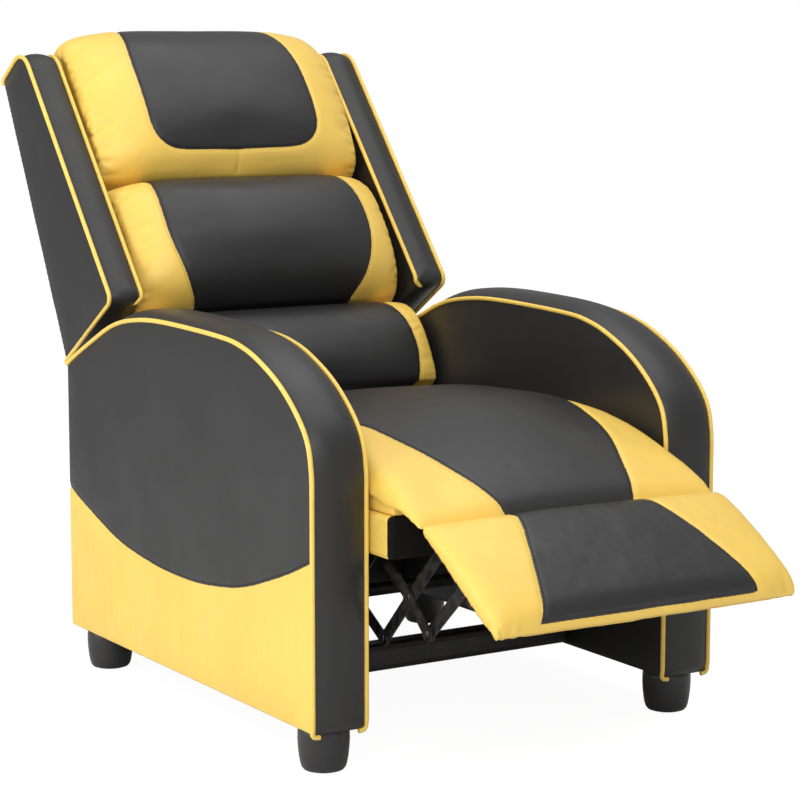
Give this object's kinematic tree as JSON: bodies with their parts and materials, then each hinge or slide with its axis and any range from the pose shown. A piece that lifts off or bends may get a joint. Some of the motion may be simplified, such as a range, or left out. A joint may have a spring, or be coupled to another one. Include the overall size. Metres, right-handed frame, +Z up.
{
  "type": "push-back recliner armchair",
  "caption": "Compact push-back recliner armchair with winged back part, rolled back cushions, fold-out footrest on a linkage and padded arms with piping.",
  "frame": {"origin": "on the floor, under the middle of the whole chair's box with the footrest out", "axes": "+Z up, -Y towards the footrest and the front, +X to the right as seen from the front"},
  "size_m": [0.667, 1.3446, 0.9847],
  "materials": {
    "black_cloth": "smooth leather-look cloth, low sheen",
    "yellow_cloth": "smooth leather-look cloth, low sheen",
    "black_plastic": "moulded, satin",
    "black_steel": "black paint on pressed steel",
    "wood": "plain plywood and softwood",
    "webbing": "woven elastic strap"
  },
  "bodies": {
    "base": {"left_arm": "black_cloth", "right_arm": "black_cloth", "left_arm_panel": "yellow_cloth", "right_arm_panel": "yellow_cloth", "left_arm_outer_piping": "yellow_cloth", "left_arm_inner_piping": "yellow_cloth", "right_arm_outer_piping": "yellow_cloth", "right_arm_inner_piping": "yellow_cloth", "left_front_foot": "black_plastic", "left_rear_foot": "black_plastic", "right_front_foot": "black_plastic", "right_rear_foot": "black_plastic", "front_rail": "black_cloth", "rear_rail": "black_cloth", "left_cleat": "wood", "right_cleat": "wood", "left_base_plate": "black_steel", "right_base_plate": "black_steel"},
    "front_swing": {"left_front_swing": "black_steel", "right_front_swing": "black_steel", "torque_tube": "black_steel"},
    "rear_swing": {"left_rear_swing": "black_steel", "right_rear_swing": "black_steel"},
    "seat": {"seat_box": "yellow_cloth", "seat_webbing": "webbing", "left_seat_plate": "black_steel", "right_seat_plate": "black_steel", "seat_cushion": "black_cloth"},
    "back": {"back_frame": "wood", "back_webbing": "webbing", "back_cover": "black_cloth", "left_wing": "black_cloth", "right_wing": "black_cloth", "left_wing_outer_piping": "yellow_cloth", "left_wing_inner_piping": "yellow_cloth", "right_wing_outer_piping": "yellow_cloth", "right_wing_inner_piping": "yellow_cloth", "head_cushion": "yellow_cloth", "lumbar_cushion": "black_cloth", "lower_cushion": "black_cloth", "left_back_bracket": "black_steel", "right_back_bracket": "black_steel"},
    "flap": {"flap_pad": "black_cloth"},
    "footrest": {"footrest_board": "wood", "footrest_pad": "black_cloth", "left_footrest_bracket": "black_steel", "right_footrest_bracket": "black_steel"},
    "lower_link": {"left_lower_link": "black_steel", "right_lower_link": "black_steel"},
    "upper_link": {"left_upper_link": "black_steel", "right_upper_link": "black_steel"},
    "rear_link": {"left_rear_link": "black_steel", "right_rear_link": "black_steel"},
    "front_link": {"left_front_link": "black_steel", "right_front_link": "black_steel"}
  },
  "joints": [
    {"name": "footrest_close", "type": "hinge", "parent": "base", "child": "front_swing", "pos_m": [0, -0.06404, 0.165], "axis": [-1, 0, 0], "range_deg": [0, 47.15]},
    {"name": "rear_swing_turn", "type": "hinge", "parent": "base", "child": "rear_swing", "pos_m": [0, 0.16596, 0.165], "axis": [-1, 0, 0], "range_deg": [0, 47.2]},
    {"name": "seat_level", "type": "hinge", "parent": "front_swing", "child": "seat", "pos_m": [0, -0.10404, 0.25665], "axis": [1, 0, 0], "range_deg": [0, 47.2]},
    {"name": "back_recline", "type": "hinge", "parent": "seat", "child": "back", "pos_m": [0, 0.22596, 0.33], "axis": [-1, 0, 0], "range_deg": [-18, 25]},
    {"name": "flap_fold", "type": "hinge", "parent": "seat", "child": "flap", "pos_m": [0, -0.42404, 0.372], "axis": [1, 0, 0], "range_deg": [0, 66.1]},
    {"name": "footrest_fold", "type": "hinge", "parent": "flap", "child": "footrest", "pos_m": [0, -0.49204, 0.343], "axis": [-1, 0, 0], "range_deg": [0, 8.7]},
    {"name": "lower_link_turn", "type": "hinge", "parent": "seat", "child": "lower_link", "pos_m": [0, -0.28124, 0.2254], "axis": [1, 0, 0], "range_deg": [0, 63.4]},
    {"name": "upper_link_turn", "type": "hinge", "parent": "seat", "child": "upper_link", "pos_m": [0, -0.34624, 0.2954], "axis": [1, 0, 0], "range_deg": [0, 62.9]},
    {"name": "rear_link_turn", "type": "hinge", "parent": "upper_link", "child": "rear_link", "pos_m": [0, -0.42924, 0.2436], "axis": [-1, 0, 0], "range_deg": [0, 64.1]},
    {"name": "front_link_turn", "type": "hinge", "parent": "upper_link", "child": "front_link", "pos_m": [0, -0.47444, 0.2037], "axis": [-1, 0, 0], "range_deg": [0, 64.1]}
  ],
  "couplings": [
    {"joint": "rear_swing_turn", "follows": "footrest_close", "ratio": 1},
    {"joint": "seat_level", "follows": "footrest_close", "ratio": 1},
    {"joint": "flap_fold", "follows": "footrest_close", "ratio": 1.3996},
    {"joint": "footrest_fold", "follows": "footrest_close", "ratio": 0.18237},
    {"joint": "lower_link_turn", "follows": "footrest_close", "ratio": 1.3411},
    {"joint": "upper_link_turn", "follows": "footrest_close", "ratio": 1.3301},
    {"joint": "rear_link_turn", "follows": "footrest_close", "ratio": 1.3558},
    {"joint": "front_link_turn", "follows": "footrest_close", "ratio": 1.3565}
  ]
}
